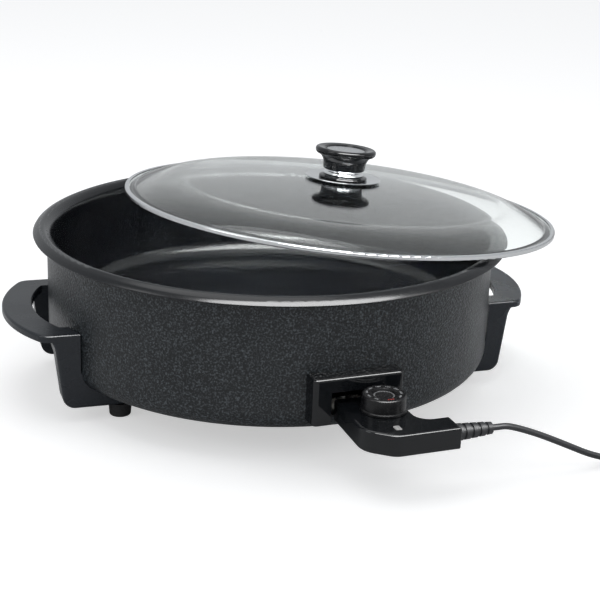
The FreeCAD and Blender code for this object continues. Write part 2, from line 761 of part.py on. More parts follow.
def make_strain_relief():
    """Rubber boot: collar inside the arm, then a ribbed taper."""
    start = ARM_END_T
    items = [(0, start - 3.8), (6.4, start - 3.8), (6.4, start + 1.0)]
    length = RELIEF_TIP_T - start
    ribs = 4
    for i in range(ribs):
        low = start + 1.0 + i * (length - 5) / ribs
        step = (length - 5) / ribs
        big = 6.9 - 0.42 * i
        items += [(big, low), (big - 0.1, low + step * 0.62), (big - 1.5, low + step * 0.66),
                  (big - 1.6, low + step * 0.96)]
    items += [(5.1, RELIEF_TIP_T - 3.8), (4.8, RELIEF_TIP_T), (0, RELIEF_TIP_T)]
    boot = turned(items)
    boot.rotate(ORIGIN, Vector(1, 0, 0), -90)
    boot.translate(Vector(CORD_N, 0, TERMINAL_Z))
    return turn_to(boot, SOCKET_AZ)


# Cord: lead from the boot, put-away coil, tail to the plug


def world(n, t, z):
    angle = math.radians(SOCKET_AZ)
    return Vector(n * math.cos(angle) - t * math.sin(angle),
                  n * math.sin(angle) + t * math.cos(angle), z)


CORD_HEADING = SOCKET_AZ + 90
EXIT = world(CORD_N, RELIEF_TIP_T, TERMINAL_Z)
COIL_START = Vector(312.0, -170.3, COIL_LOW_Z)


def coil_centre():
    angle = math.radians(CORD_HEADING - 90)
    reach = Vector(math.cos(angle), math.sin(angle), 0) * COIL_OUT_R
    return Vector(COIL_START.x + reach.x, COIL_START.y + reach.y, 0)


COIL_CENTRE = coil_centre()


def coil_point(turn):
    """Spiral in on the floor layer, climb in the half turn at the middle, spiral out on top."""
    middle = COIL_TURNS / 2
    inward = turn if turn < middle else COIL_TURNS - turn
    radius = COIL_OUT_R - COIL_PITCH * inward
    climb = min(1.0, max(0.0, (turn - (middle - 0.25)) / 0.5))
    smooth = climb * climb * (3 - 2 * climb)
    angle = math.radians(CORD_HEADING + 90 - 360 * turn)
    return Vector(COIL_CENTRE.x + radius * math.cos(angle),
                  COIL_CENTRE.y + radius * math.sin(angle), COIL_LOW_Z + COIL_LAYER * smooth)


def coil_tangent(turn):
    step = 0.002
    middle = COIL_TURNS / 2
    if abs(turn - middle) < 0.01:
        direction = coil_point(turn + 0.1) - coil_point(turn - 0.1)
    elif turn < step:
        direction = coil_point(step) - coil_point(0)
    elif turn > COIL_TURNS - step:
        direction = coil_point(COIL_TURNS) - coil_point(COIL_TURNS - step)
    else:
        direction = coil_point(turn + step) - coil_point(turn - step)
    direction.normalize()
    return direction


def arc_by_corner(start, corner, end):
    """Arc from start to end, tangent to the lines through the corner."""
    half_chord = (end - start).Length / 2
    reach = (corner - start).Length
    half_turn = math.acos(min(1.0, half_chord / reach))
    foot = (start + end) * 0.5
    rise = half_chord * math.tan(half_turn / 2)
    towards = corner - foot
    if towards.Length < 1e-7:
        return Part.makeLine(start, end)
    towards.normalize()
    return Part.Arc(start, foot + towards * rise, end).toShape()


def biarc(p0, t0, p1, t1):
    """Two arcs from p0 to p1 that leave along t0 and arrive along t1."""
    chord = p1 - p0
    sum_t = t0 + t1
    a = 2 * (1 - t0.dot(t1))
    b = 2 * chord.dot(sum_t)
    c = -chord.dot(chord)
    if abs(a) < 1e-9:
        d = -c / b
    else:
        d = (-b + math.sqrt(b * b - 4 * a * c)) / (2 * a)
    q0 = p0 + t0 * d
    q1 = p1 - t1 * d
    joint = (q0 + q1) * 0.5
    return [arc_by_corner(p0, q0, joint), arc_by_corner(joint, q1, p1)]


def heading_vector(degrees):
    angle = math.radians(degrees)
    return Vector(math.cos(angle), math.sin(angle), 0)


def coil_edges():
    """Straight diameter at each end, biarcs of a quarter turn between."""
    quarters = int(round(COIL_TURNS * 4))
    start_dir = heading_vector(CORD_HEADING)
    first = coil_point(0)
    edges = [Part.makeLine(first - start_dir * (2 * CORD_R), first)]
    here, along = first, start_dir
    for k in range(1, quarters + 1):
        turn = k / 4.0
        there = coil_point(turn)
        if k == quarters:
            ahead = heading_vector(CORD_HEADING - 360 * COIL_TURNS)
        else:
            ahead = coil_tangent(turn)
        edges += biarc(here, along, there, ahead)
        here, along = there, ahead
    edges.append(Part.makeLine(here, here + along * (2 * CORD_R)))
    return edges, here + along * (2 * CORD_R), along


def least_gap(edges, radius):
    """Smallest free distance between stretches of the tube more than a third turn apart."""
    points = []
    run = 0.0
    for edge in edges:
        count = max(2, int(edge.Length / 2.0))
        for i in range(count):
            share = i / count
            spot = edge.valueAt(edge.FirstParameter
                                + (edge.LastParameter - edge.FirstParameter) * share)
            points.append((run + edge.Length * share, spot))
        run += edge.Length
    best = 1e9
    for i, (s0, p0) in enumerate(points):
        for s1, p1 in points[i + 1:]:
            if s1 - s0 > 40:
                best = min(best, (p1 - p0).Length)
    return best - 2 * radius


def rounded_route(points):
    """Straight runs joined by tangent arcs as large as the runs allow."""
    edges = []
    here = points[0]
    radii = []
    for i in range(1, len(points) - 1):
        before = points[i] - points[i - 1]
        after = points[i + 1] - points[i]
        turn = before.getAngle(after)
        reach = 0.45 * min(before.Length, after.Length)
        radii.append(reach / math.tan(turn / 2))
        back = before.normalize()
        ahead = after.normalize()
        start = points[i] - back * reach
        end = points[i] + ahead * reach
        edges.append(Part.makeLine(here, start))
        edges.append(arc_by_corner(start, points[i], end))
        here = end
    edges.append(Part.makeLine(here, points[-1]))
    return edges, radii


def report_tube(name, edges, solid, radii):
    length = sum(edge.Length for edge in edges)
    expected = math.pi * CORD_R ** 2 * length
    print(name, "length %.1f, volume ratio %.4f" % (length, solid.Volume / expected),
          "radii", ["%.0f" % radius for radius in radii])
    return length


def run_point(distance, z):
    """A point on the lead's straight line from the boot, at its own height."""
    along = heading_vector(CORD_HEADING)
    return Vector(EXIT.x + along.x * distance, EXIT.y + along.y * distance, z)


LEAD_POINTS = [
    EXIT,
    run_point(16, 43.0),
    run_point(40, 33.5),
    run_point(68, 20.0),
    run_point(96, 6.0),
    COIL_START - heading_vector(CORD_HEADING) * 28,
    COIL_START - heading_vector(CORD_HEADING) * (2 * CORD_R),
]


def make_cord():
    lead_edges, lead_radii = rounded_route(LEAD_POINTS)
    lead = tube_along(lead_edges, CORD_R)
    total = report_tube("lead", lead_edges, lead, lead_radii)
    edges, coil_end, coil_dir = coil_edges()
    coil = tube_along(edges, CORD_R)
    total += report_tube("coil", edges, coil, [])
    print("coil least gap %.2f, valid %s" % (least_gap(edges, CORD_R), coil.isValid()))
    side = Vector(coil_dir.y, -coil_dir.x, 0)
    tail_points = [
        coil_end,
        coil_end + coil_dir * 16,
        coil_end + coil_dir * 34 + side * 5.0 + Vector(0, 0, -1.4),
        coil_end + coil_dir * 50 + side * 14.0 + Vector(0, 0, PLUG_AXIS_Z - coil_end.z),
        coil_end + coil_dir * 61 + side * 25.0 + Vector(0, 0, PLUG_AXIS_Z - coil_end.z),
    ]
    tail_edges, tail_radii = rounded_route(tail_points)
    tail = tube_along(tail_edges, CORD_R)
    total += report_tube("tail", tail_edges, tail, tail_radii)
    print("cord in all %.1f mm" % total)
    for label, points in (("lead", LEAD_POINTS), ("tail", tail_points)):
        print(label, ["%.1f %.1f %.1f" % (p.x, p.y, p.z) for p in points])
    print("coil centre %.2f %.2f" % (COIL_CENTRE.x, COIL_CENTRE.y))
    plug_dir = tail_points[-1] - tail_points[-2]
    plug_dir.normalize()
    return lead, coil, tail, tail_points[-1], plug_dir


def make_tie():
    """Soft strap looped once round all the turns."""
    angle = CORD_HEADING - 190
    inner_r = COIL_OUT_R - COIL_PITCH * COIL_TURNS / 2 - CORD_R - 1.0
    outer_r = COIL_OUT_R + CORD_R + 1.0
    low = COIL_LOW_Z - CORD_R - 0.3
    high = COIL_LOW_Z + COIL_LAYER + CORD_R + 0.3
    thick = 0.8

    def band(grow):
        corners = [(inner_r - grow, low - grow, 2.2), (outer_r + grow, low - grow, 2.2),
                   (outer_r + grow, high + grow, 2.2), (inner_r - grow, high + grow, 2.2)]
        face = Part.Face(rounded_outline(corners))
        face.rotate(ORIGIN, Vector(1, 0, 0), 90)
        face.translate(Vector(0, 4.5, 0))
        return face.extrude(Vector(0, -9, 0))

    strap = band(thick).cut(band(0))
    strap.rotate(ORIGIN, Z_AXIS, angle)
    strap.translate(COIL_CENTRE)
    return strap


def make_plug(start, direction):
    """Moulded straight plug: ribbed neck, body, two blades and a round earth pin."""
    neck = turned([
        (0, 0), (4.4, 0), (4.8, 6), (4.0, 6.4), (4.0, 8), (5.4, 8.4), (5.6, 12), (4.8, 12.4),
        (4.8, 14), (6.4, 14.4), (8.0, 20), (0, 20),
    ])
    neck.rotate(ORIGIN, Vector(0, 1, 0), 90)
    back = rounded_outline([(-7, -6.5, 4), (7, -6.5, 4), (7, 6.5, 4), (-7, 6.5, 4)])
    front = rounded_outline([(-13, -10.8, 5), (13, -10.8, 5), (13, 10.8, 5), (-13, 10.8, 5)])

    def stand(wire, x):
        placed = wire.copy()
        placed.rotate(ORIGIN, Vector(0, 0, 1), 90)
        placed.rotate(ORIGIN, Vector(0, 1, 0), 90)
        placed.translate(Vector(x, 0, 0))
        return placed

    taper = Part.makeLoft([stand(back, 18), stand(front, 34)], True, True)
    block = Part.Face(stand(front, 34)).extrude(Vector(12, 0, 0))
    body = neck.fuse([taper, block]).removeSplitter()
    blades = [box(46, 62, -7.1, -5.6, -0.2, 6.2), box(46, 62, 5.6, 7.1, -0.2, 6.2)]
    earth = Part.makeCylinder(2.4, 18, Vector(46, 0, -6.0), Vector(1, 0, 0))
    earth = soften(earth, 1.6, lambda edge: edge.BoundBox.XMin > 63.9)
    pins = Part.makeCompound(blades + [earth])
    angle = math.degrees(math.atan2(direction.y, direction.x))
    placed = []
    for shape in (body, pins):
        shape.rotate(ORIGIN, Z_AXIS, angle)
        shape.translate(start)
        placed.append(shape)
    return placed


# Lid


def lay_lid(shape):
    """From the lid's own level frame to where it lies ajar on the rim."""
    laid = shape.copy()
    azimuth = math.radians(LID_SHIFT_AZ)
    axis = Vector(-math.sin(azimuth), math.cos(azimuth), 0)
    laid.rotate(ORIGIN, axis, LID_TILT)
    laid.translate(Vector(LID_SHIFT * math.cos(azimuth), LID_SHIFT * math.sin(azimuth), LID_REST_Z))
    return laid


def make_lid_rim():
    """Rolled steel band: channel round the glass, flange below, and a shallow locating skirt."""
    s = LID_SHEET
    return turned([
        (LID_SKIRT_R, -LID_SKIRT_DEPTH), (LID_SKIRT_R, 0), (LID_R - 1.0, 0),
        ((LID_R - 0.3, 0.3), (LID_R, 1.0)), (LID_R, 3.2),
        ((LID_R - 0.3, 3.9), (LID_R - 1.0, 4.2)), (LID_R - 3.6, 4.2), (LID_R - 3.6, 3.7),
        (LID_R - 1.1, 3.7), (LID_R - s, 3.1), (LID_R - s, 1.1), (LID_R - 1.1, s),
        (LID_SKIRT_R - s, s), (LID_SKIRT_R - s, -LID_SKIRT_DEPTH),
    ])


def make_glass():
    """Dome with a broad shallow crown, a rounder shoulder and a flat margin in the band."""
    crown_drop = GLASS_TOP - 8.7
    low = GLASS_TOP - GLASS_T
    glass = turned([
        (0, GLASS_TOP), ((75, GLASS_TOP - 2.15), (150, crown_drop)),
        ((171, crown_drop - 4.75), (192.0, 4.0)), (195.8, 3.6), (LID_R - 1.2, 3.6),
        (LID_R - 0.6, 3.0), (LID_R - 0.6, 1.2), (LID_R - 1.2, 0.6), (189.5, 0.6),
        ((169.5, crown_drop - 4.2 - GLASS_T), (150, crown_drop - GLASS_T)),
        ((75, low - 2.15), (0, low)),
    ])
    return glass.cut(rod(4.0, 0, 60))


def make_knob_parts():
    g = GLASS_TOP
    disc = turned([
        (2.8, g + 0.05), (24, g - 0.05), (34.2, g + 0.9), (35.0, g + 1.6), (34.4, g + 2.0),
        (24, g + 0.9), (2.8, g + 0.95),
    ])
    washer = turned([
        (2.8, g + 1.0), (20.5, g + 1.0), (22.5, g + 1.8), (22.0, g + 2.8), (17.5, g + 4.2),
        (2.8, g + 4.2),
    ])
    collar = turned([
        (2.8, g + 4.3), (17.6, g + 4.3), ((18.4, g + 4.8), (18.0, g + 5.8)), (16.8, g + 7.4),
        ((16.6, g + 8.2), (17.4, g + 9.0)), (2.8, g + 9.0),
    ])
    knob = turned([
        (0, g + 9.1), (18.6, g + 9.1), (19.4, g + 10.0), (19.8, g + 14),
        ((21.2, g + 19), (24.4, g + 22.6)), ((27.2, g + 23.8), (28.0, g + 26.0)),
        ((27.2, g + 28.4), (24.6, g + 29.0)), (20.6, g + 28.4), (18.2, g + 27.0),
        (18.2, g + 25.6), (0, g + 25.6),
    ])
    knob = knob.cut(rod(2.2, g + 8, g + 20))
    insert = turned([
        (0, g + 25.7), (18.0, g + 25.7), (18.0, g + 26.7), (17.2, g + 27.2), (12, g + 27.5),
        (0, g + 27.6),
    ])
    under = g - GLASS_T
    seal = ring(11.0, 2.8, under - 1.3, under - 0.15)
    screw = rod(7.0, under - 3.4, under - 1.35)
    screw = soften(screw, 1.2, lambda edge: edge.BoundBox.ZMax < under - 3.3)
    screw = screw.fuse(rod(2.15, under - 1.4, g + 18))
    slot = box(-5.5, 5.5, -0.6, 0.6, under - 4, under - 2.3)
    screw = screw.cut(slot)
    return {"knob_disc": disc, "knob_washer": washer, "knob_collar": collar, "lid_knob": knob,
            "knob_insert": insert, "lid_seal": seal, "knob_screw": screw}


# Assembly

pan, pan_under_z = make_inner_pan()
add("inner_pan", pan)
add("outer_casing", make_casing())
add("base_plate", make_base_plate())
add("base_screws", make_base_screws())
add("heat_reflector", make_reflector())
add("spreader_plate", rod(128.0, TERMINAL_Z + ELEMENT_R + 0.03, pan_under_z))
add("heating_element", make_element())
add("element_clips", make_clamps())
add("terminal_bracket", make_terminal_bracket())
add("pin_bushes", make_pin_bushes())
add("terminal_pins", make_pins())
add("probe_guide", make_probe_guide())
add("socket_shroud", make_shroud())
add("shroud_screws", make_shroud_screws())
add("handle_left", make_handle(HANDLE_AZ))
add("handle_right", make_handle(HANDLE_AZ - 180))
foot_names = ["foot_left_rear", "foot_left_front", "foot_right_front", "foot_right_rear"]
for foot_name, foot_spot in zip(foot_names, FOOT_SPOTS):
    add(foot_name, make_foot(*foot_spot))
add("foot_screws", make_foot_screws())
add("foot_nuts", make_nuts())
add("controller_base", make_controller_base())
add("controller_cover", make_controller_cover())
add("controller_screws", make_controller_screws())
add("lamp_lens", make_lens())
add("pilot_lamp", make_lamp())
add("contact_sleeves", make_sleeves())
add("temperature_probe", make_probe())
switch_frame, switch_stack, switch_leaves = make_thermostat()
add("thermostat_frame", switch_frame)
add("ceramic_stack", switch_stack)
add("contact_leaves", switch_leaves)
add("spindle_bush", make_spindle_bush())
add("dial", make_dial())
add("dial_spindle", make_spindle())
add("strain_relief", make_strain_relief())
cord_lead, cord_coil, cord_tail, plug_start, plug_heading = make_cord()
add("cord_lead", cord_lead)
add("cord_coil", cord_coil)
add("cord_tail", cord_tail)
add("cord_tie", make_tie())
plug_body, plug_pins = make_plug(plug_start, plug_heading)
add("plug_body", plug_body)
add("plug_pins", plug_pins)
add("lid_rim", lay_lid(make_lid_rim()))
add("lid_glass", lay_lid(make_glass()))
for part_name, part_shape in make_knob_parts().items():
    add(part_name, lay_lid(part_shape))

# Origin: on the floor, below the middle of everything but the cord and what hangs on it

free_nodes = ["cord_lead", "cord_coil", "cord_tail", "cord_tie", "plug_body", "plug_pins"]
extent = FreeCAD.BoundBox()
for name, shape in NODES.items():
    if name not in free_nodes:
        extent.add(shape.optimalBoundingBox())
ORIGIN_SHIFT = Vector(-extent.Center.x, -extent.Center.y, -TABLE_Z)
dial_axis = world(DIAL_N, DIAL_T, DIAL_TOP_Z) + ORIGIN_SHIFT
print("pan axis %.3f %.3f" % (ORIGIN_SHIFT.x, ORIGIN_SHIFT.y))
print("dial axis %.3f %.3f" % (dial_axis.x, dial_axis.y))

os.makedirs("parts", exist_ok=True)
for name, shape in NODES.items():
    shape.translate(ORIGIN_SHIFT)
    shape.exportStep("parts/" + name + ".step")
    bounds = shape.BoundBox
    print("%-18s solids %d valid %s vol %.0f  x %.1f..%.1f y %.1f..%.1f z %.1f..%.1f" % (
        name, len(shape.Solids), shape.isValid(), shape.Volume,
        bounds.XMin, bounds.XMax, bounds.YMin, bounds.YMax, bounds.ZMin, bounds.ZMax))
print("nodes", len(NODES))
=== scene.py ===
import bpy
import math
from mathutils import Matrix, Vector


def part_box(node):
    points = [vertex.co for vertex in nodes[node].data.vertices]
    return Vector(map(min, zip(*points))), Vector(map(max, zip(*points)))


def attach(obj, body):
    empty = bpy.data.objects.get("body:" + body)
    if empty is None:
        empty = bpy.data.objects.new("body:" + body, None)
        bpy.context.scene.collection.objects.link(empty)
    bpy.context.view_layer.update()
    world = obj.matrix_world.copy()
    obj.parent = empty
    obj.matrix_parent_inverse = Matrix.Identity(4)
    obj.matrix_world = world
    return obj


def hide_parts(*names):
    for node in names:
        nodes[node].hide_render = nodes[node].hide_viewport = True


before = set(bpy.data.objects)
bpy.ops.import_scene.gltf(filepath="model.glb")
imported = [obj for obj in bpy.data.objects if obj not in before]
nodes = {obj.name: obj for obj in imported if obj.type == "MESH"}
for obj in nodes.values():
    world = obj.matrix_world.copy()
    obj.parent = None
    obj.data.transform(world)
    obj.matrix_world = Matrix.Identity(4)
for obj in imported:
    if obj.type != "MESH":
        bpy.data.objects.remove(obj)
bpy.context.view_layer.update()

# Viewpoint
# The skillet stands on a table top and is looked at from the front, a little above the
# rim, through a long lens. Every place below is measured from the middle of the pan.

SENSOR_WIDTH = 36.0
LENS_LENGTH = 85.90
FARTHEST_SEEN = 30.0
STANDPOINT = Vector((0, -1.2339, 0.4981))
YAW = math.radians(1.318)
PITCH = math.radians(19.107)
ROLL = math.radians(2.044)

pan_low, pan_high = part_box("inner_pan")
middle = Vector(((pan_low.x + pan_high.x) / 2, (pan_low.y + pan_high.y) / 2, 0.0))


def add_object(name, data):
    """A new object in the scene, at the origin."""
    item = bpy.data.objects.new(name, data)
    bpy.context.scene.collection.objects.link(item)
    return item


camera_data = bpy.data.cameras.new("viewpoint")
camera_data.sensor_width = SENSOR_WIDTH
camera_data.lens = LENS_LENGTH
camera_data.clip_end = FARTHEST_SEEN
camera = add_object("viewpoint", camera_data)
ahead = Vector((math.sin(YAW) * math.cos(PITCH), math.cos(YAW) * math.cos(PITCH), -math.sin(PITCH)))
level = ahead.cross(Vector((0, 0, 1))).normalized()
upward = level.cross(ahead)
right = level * math.cos(ROLL) + upward * math.sin(ROLL)
top = upward * math.cos(ROLL) - level * math.sin(ROLL)
turn = Matrix((right, top, -ahead)).transposed().to_4x4()
camera.matrix_world = Matrix.Translation(middle + STANDPOINT) @ turn
bpy.context.scene.camera = camera
bpy.context.scene.view_settings.view_transform = "Standard"

# Power cord
# One round black sheathed lead. It leaves the controller's boot, sags to the table, and what
# isn't in use is wound on itself in two layers of turns; a short end runs on to the plug.

CORD_DIAMETER = 0.0052

# The route is in millimetres. A curve runs a little inside the points that steer it, so the
# points of the turns stand out by STEER_OUTWARD.
LEAD_HEADING = math.radians(20.3)
LYING_HEIGHT = 3.8
OUTER_TURN_RADIUS = 38.0
TURN_SPACING = 6.1
COIL_TURNS = 5.25
CLIMB_TURNS = 0.5
POINTS_PER_TURN = 16
STEER_OUTWARD = 1.0095
coil_middle = Vector((325.18, -205.94, 0.0))
lead_points = [
    (174.6, -221.2, 47.0), (182.0, -218.4, 47.0), (189.6, -215.6, 46.6), (212.1, -207.3, 37.5),
    (238.4, -197.6, 24.0), (264.6, -187.9, 10.0), (285.7, -180.0, 4.0), (301.5, -174.2, 3.8),
]
tail_points = [
    (362.6, -197.6, 9.9), (368.2, -212.6, 9.9), (369.7, -231.3, 8.5), (366.8, -249.4, 11.4),
    (360.3, -263.5, 11.4),
]
cord_points = [Vector(point) for point in lead_points]
for k in range(1, int(COIL_TURNS * POINTS_PER_TURN)):
    wound = k / POINTS_PER_TURN
    inward = min(wound, COIL_TURNS - wound)
    radius = (OUTER_TURN_RADIUS - TURN_SPACING * inward) * STEER_OUTWARD
    climb = min(1.0, max(0.0, (wound - (COIL_TURNS / 2 - CLIMB_TURNS / 2)) / CLIMB_TURNS))
    height = LYING_HEIGHT + TURN_SPACING * climb * climb * (3 - 2 * climb)
    angle = LEAD_HEADING + math.pi / 2 - 2 * math.pi * wound
    outward = Vector((radius * math.cos(angle), radius * math.sin(angle), height))
    cord_points.append(coil_middle + outward)
cord_points += [Vector(point) for point in tail_points]

cord_curve = bpy.data.curves.new("power_cord", "CURVE")
cord_curve.dimensions = "3D"
line = cord_curve.splines.new("NURBS")
line.points.add(len(cord_points) - 1)
for point, place in zip(line.points, cord_points):
    point.co = (*(middle + place / 1000), 1.0)
line.order_u = 3
line.use_endpoint_u = True
line.resolution_u = 6
cord_curve.bevel_depth = CORD_DIAMETER / 2
cord_curve.bevel_resolution = 5
cord_curve.use_fill_caps = True
cord = add_object("power_cord", cord_curve)


def shader_of(material):
    return material.node_tree.nodes["Principled BSDF"]


def new_material(name, colour, roughness, metallic=0.0, **sockets):
    """A Principled material with its constants on the shader's own sockets."""
    material = bpy.data.materials.new(name)
    material.use_nodes = True
    shader = shader_of(material)
    shader.inputs["Base Color"].default_value = (*colour, 1.0)
    shader.inputs["Roughness"].default_value = roughness
    shader.inputs["Metallic"].default_value = metallic
    for socket, value in sockets.items():
        shader.inputs[socket.replace("_", " ")].default_value = value
    return material


def texture(material, kind, scale, stretch=(1, 1, 1), **values):
    """A procedural texture read at Object coordinates, in features per metre."""
    tree = material.node_tree
    place = tree.nodes.new("ShaderNodeTexCoord")
    mapping = tree.nodes.new("ShaderNodeMapping")
    mapping.inputs["Scale"].default_value = stretch
    tree.links.new(place.outputs["Object"], mapping.inputs["Vector"])
    node = tree.nodes.new(kind)
    node.inputs["Scale"].default_value = scale
    for name, value in values.items():
        if name in node.inputs:
            node.inputs[name].default_value = value
        else:
            setattr(node, name, value)
    tree.links.new(mapping.outputs["Vector"], node.inputs["Vector"])
    return node


def noise(material, scale, detail=2.0, stretch=(1, 1, 1), **values):
    """The value of a cloudy noise texture."""
    node = texture(material, "ShaderNodeTexNoise", scale, stretch, Detail=detail, **values)
    return node.outputs["Fac"]


def full_colour(value):
    """A colour with its alpha, or the grey that a plain number stands for."""
    return (*value, 1.0) if isinstance(value, tuple) else (value, value, value, 1.0)


def vary(material, socket, source, low, high, start=0.3, end=0.7):
    """Lets a texture's value move a socket of the shader between two colours or two greys."""
    ramp = material.node_tree.nodes.new("ShaderNodeValToRGB")
    first, last = ramp.color_ramp.elements
    first.position = start
    last.position = end
    first.color = full_colour(low)
    last.color = full_colour(high)
    material.node_tree.links.new(source, ramp.inputs["Fac"])
    material.node_tree.links.new(ramp.outputs["Color"], shader_of(material).inputs[socket])


def bump(material, source, strength, depth, below=None):
    """Raises the surface by a texture, over another bump where one is given."""
    node = material.node_tree.nodes.new("ShaderNodeBump")
    node.inputs["Strength"].default_value = strength
    node.inputs["Distance"].default_value = depth
    material.node_tree.links.new(source, node.inputs["Height"])
    if below is not None:
        material.node_tree.links.new(below, node.inputs["Normal"])
    material.node_tree.links.new(node.outputs["Normal"], shader_of(material).inputs["Normal"])
    return node.outputs["Normal"]


sheath = new_material("pvc_sheath", (0.018, 0.019, 0.022), 0.42)
grain = noise(sheath, 900.0, detail=3.0)
vary(sheath, "Base Color", grain, (0.014, 0.015, 0.018), (0.026, 0.027, 0.031))
vary(sheath, "Roughness", grain, 0.36, 0.5)
bump(sheath, grain, strength=0.25, depth=0.0002)
cord_curve.materials.append(sheath)

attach(cord, "controller")
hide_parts("cord_lead", "cord_coil", "cord_tail")

# Boot, plug and tie
# The boot is moulded round the lead where it enters the controller, with ribs that let it bend.
# The plug is moulded on the far end, with two folded brass blades and a round earth pin, and a
# thin rubber strap holds the wound turns together.


def dress(material, *names):
    """Gives solids of the frame their finish."""
    for name in names:
        slots = nodes[name].data.materials
        for i in range(max(1, len(slots))):
            if i < len(slots):
                slots[i] = material
            else:
                slots.append(material)


dress(sheath, "strain_relief", "plug_body", "cord_lead", "cord_coil", "cord_tail")

strap_rubber = new_material("strap_rubber", (0.02, 0.02, 0.021), 0.6)
strap_grain = noise(strap_rubber, 1500.0)
vary(strap_rubber, "Roughness", strap_grain, 0.5, 0.7)
bump(strap_rubber, strap_grain, strength=0.3, depth=0.0002)
dress(strap_rubber, "cord_tie")

brass = new_material("bare_brass", (0.62, 0.44, 0.18), 0.24, metallic=1.0)
brass_wear = noise(brass, 300.0, detail=4.0, stretch=(1, 1, 6))
vary(brass, "Base Color", brass_wear, (0.5, 0.34, 0.13), (0.72, 0.53, 0.24))
vary(brass, "Roughness", brass_wear, 0.16, 0.34)
dress(brass, "plug_pins", "contact_sleeves", "contact_leaves", "spindle_bush")

# Casing
# A deep drawn steel shell round the pan, stove enamelled in a hammered dark grey whose small
# puddles catch the light as a fine silvery mottle.

hammered = new_material("hammered_enamel", (0.01, 0.013, 0.016), 0.32, Specular_IOR_Level=0.42)
puddles = texture(
    hammered, "ShaderNodeTexVoronoi", 560.0, feature="SMOOTH_F1", Smoothness=0.5, Randomness=1.0,
)
flecks = noise(hammered, 620.0, Roughness=0.6)
clouding = noise(hammered, 22.0)
vary(hammered, "Base Color", flecks, (0.003, 0.0048, 0.0062), (0.085, 0.098, 0.108), 0.48, 0.72)
vary(hammered, "Roughness", clouding, 0.26, 0.36)
fleck_relief = bump(hammered, flecks, strength=0.35, depth=0.0003)
bump(hammered, puddles.outputs["Distance"], strength=0.6, depth=0.0006, below=fleck_relief)
dress(hammered, "outer_casing")

# Pan
# Pressed aluminium with a black non-stick coat inside and on the rolled-out rim; the coat is
# satin, with faint speckle and the fine swirl of the spray.

coat = new_material("nonstick_coat", (0.008, 0.009, 0.011), 0.2, Specular_IOR_Level=0.4)
speckle = noise(coat, 1100.0)
swirl = noise(coat, 35.0, detail=3.0)
vary(coat, "Base Color", speckle, (0.006, 0.007, 0.009), (0.02, 0.022, 0.025), 0.55, 0.8)
vary(coat, "Roughness", swirl, 0.18, 0.24)
bump(coat, speckle, strength=0.12, depth=0.00012)
dress(coat, "inner_pan")

# Underside
# A painted bottom plate with cooling slots closes the casing. Above it lie the bright tray, the
# sheathed element under its aluminium spreader, and the bracket for the terminals in their
# ceramic bushes. Screws, nuts, pins and probe are plated steel.

black_paint = new_material("heatproof_paint", (0.02, 0.02, 0.022), 0.55)
paint_grain = noise(black_paint, 700.0)
vary(black_paint, "Roughness", paint_grain, 0.48, 0.64)
bump(black_paint, paint_grain, strength=0.25, depth=0.0002)
dress(black_paint, "base_plate")

bright = new_material("bright_sheet", (0.62, 0.62, 0.61), 0.26, metallic=1.0)
rolled = noise(bright, 60.0, detail=4.0, stretch=(1, 14, 1))
vary(bright, "Roughness", rolled, 0.2, 0.36)
dress(bright, "heat_reflector", "element_clips", "terminal_bracket", "thermostat_frame",
      "spreader_plate")

tinted = new_material("heat_tinted_sheath", (0.2, 0.17, 0.15), 0.4, metallic=1.0)
bloom = noise(tinted, 40.0, detail=3.0)
vary(tinted, "Base Color", bloom, (0.16, 0.12, 0.1), (0.3, 0.28, 0.27))
dress(tinted, "heating_element")

steel = new_material("plated_steel", (0.55, 0.55, 0.54), 0.3, metallic=1.0)
plating = noise(steel, 500.0, detail=3.0)
vary(steel, "Roughness", plating, 0.24, 0.4)
dress(steel, "base_screws", "foot_screws", "foot_nuts", "shroud_screws", "controller_screws",
      "terminal_pins", "probe_guide", "temperature_probe", "dial_spindle", "knob_screw")

ceramic = new_material("white_ceramic", (0.72, 0.7, 0.64), 0.55)
pores = noise(ceramic, 1200.0)
vary(ceramic, "Roughness", pores, 0.48, 0.66)
bump(ceramic, pores, strength=0.2, depth=0.0001)
dress(ceramic, "pin_bushes", "ceramic_stack")

# Handles and feet
# Two phenolic mouldings, each a crescent grip on two posts that turn in under the casing, and a
# rubber foot screwed up into every arm.

phenolic = new_material("satin_phenolic", (0.012, 0.015, 0.02), 0.28, Specular_IOR_Level=0.4)
fine = noise(phenolic, 850.0, detail=3.0)
handling = noise(phenolic, 28.0)
vary(phenolic, "Base Color", fine, (0.009, 0.012, 0.017), (0.016, 0.02, 0.026))
vary(phenolic, "Roughness", handling, 0.24, 0.32)
bump(phenolic, fine, strength=0.12, depth=0.00015)
dress(phenolic, "handle_left", "handle_right")

rubber = new_material("foot_rubber", (0.016, 0.016, 0.017), 0.7)
scuff = noise(rubber, 600.0, detail=3.0)
vary(rubber, "Roughness", scuff, 0.6, 0.85)
bump(rubber, scuff, strength=0.3, depth=0.0002)
dress(rubber, "foot_left_rear", "foot_left_front", "foot_right_front", "foot_right_rear")

# Socket shroud and controller
# Glossy black phenolic: the shroud is screwed to the casing round the terminals, and the
# controller plugs into it. Its two half shells are screwed together from below, and a lens in
# the upper one shows the heating lamp. The lens is painted pale grey, as a painted highlight.

polished = new_material("polished_phenolic", (0.006, 0.007, 0.008), 0.14, Specular_IOR_Level=0.4)
polish = noise(polished, 45.0, detail=3.0)
haze = noise(polished, 380.0)
vary(polished, "Base Color", haze, (0.005, 0.006, 0.007), (0.009, 0.01, 0.012))
vary(polished, "Roughness", polish, 0.06, 0.11)
dress(polished, "socket_shroud", "controller_base", "controller_cover")
